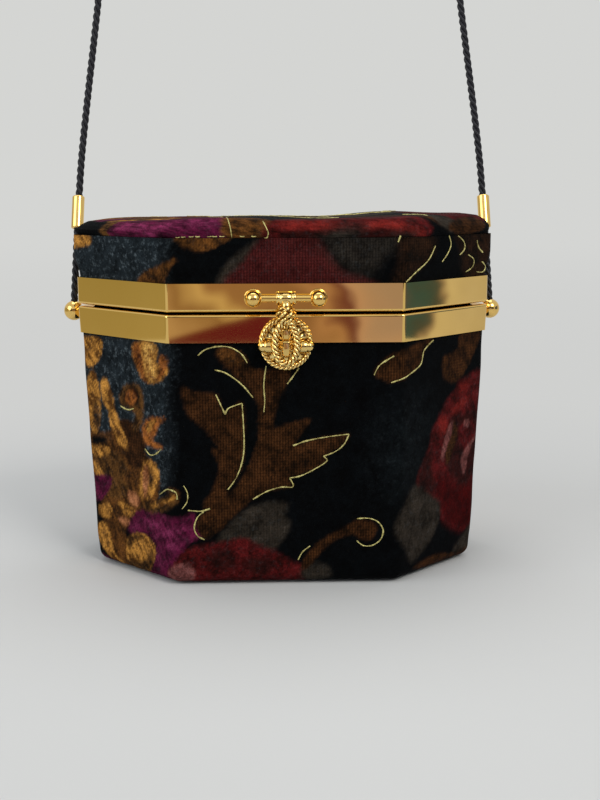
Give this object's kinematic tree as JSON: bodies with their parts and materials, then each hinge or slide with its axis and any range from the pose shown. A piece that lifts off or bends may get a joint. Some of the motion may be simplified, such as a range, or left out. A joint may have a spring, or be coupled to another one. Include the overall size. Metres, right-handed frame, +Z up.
{
  "type": "box purse",
  "caption": "Octagonal hard-cased evening box purse in floral velvet with polished gilt frames, a hinged padded lid, a drop latch and a cord strap.",
  "frame": {"origin": "centre of the underside, on the surface that the purse stands on", "axes": "+X to the right across the long way, -Y out of the front with the latch, +Z up"},
  "size_m": [0.178, 0.1099, 0.3035],
  "materials": {
    "velvet": "printed velvet",
    "lining": "satin",
    "padding": "foam",
    "cord": "twisted cord",
    "board": "plain grey board",
    "gilt": "polished"
  },
  "bodies": {
    "case": {"base_cover": "velvet", "base_board": "board", "case_wall": "board", "case_cover": "velvet", "case_lining": "lining", "case_frame": "gilt", "case_hinge_leaf": "gilt", "case_hinge_rivets": "gilt", "hinge_pin": "gilt", "catch_rosette": "gilt", "strap_stud_left": "gilt", "strap_stud_right": "gilt", "stud_washer_left": "gilt", "stud_washer_right": "gilt", "strap_cord": "cord", "strap_ferrule_left": "gilt", "strap_ferrule_right": "gilt"},
    "lid": {"lid_wall": "board", "lid_top_board": "board", "lid_band_cover": "velvet", "lid_lining": "lining", "lid_pad": "padding", "lid_top_cover": "velvet", "lid_frame": "gilt", "lid_hinge_leaf": "gilt", "lid_hinge_rivets": "gilt", "latch_post_left": "gilt", "latch_post_right": "gilt", "latch_pin": "gilt"},
    "latch": {"latch_loop": "gilt"}
  },
  "joints": [
    {"name": "lid_hinge", "type": "hinge", "parent": "case", "child": "lid", "pos_m": [0, 0.0509, 0.1029], "axis": [-1, 0, 0], "range_deg": [0, 100]},
    {"name": "latch_swing", "type": "hinge", "parent": "lid", "child": "latch", "pos_m": [0, -0.052, 0.1085], "axis": [-1, 0, 0], "range_deg": [0, 140]}
  ]
}
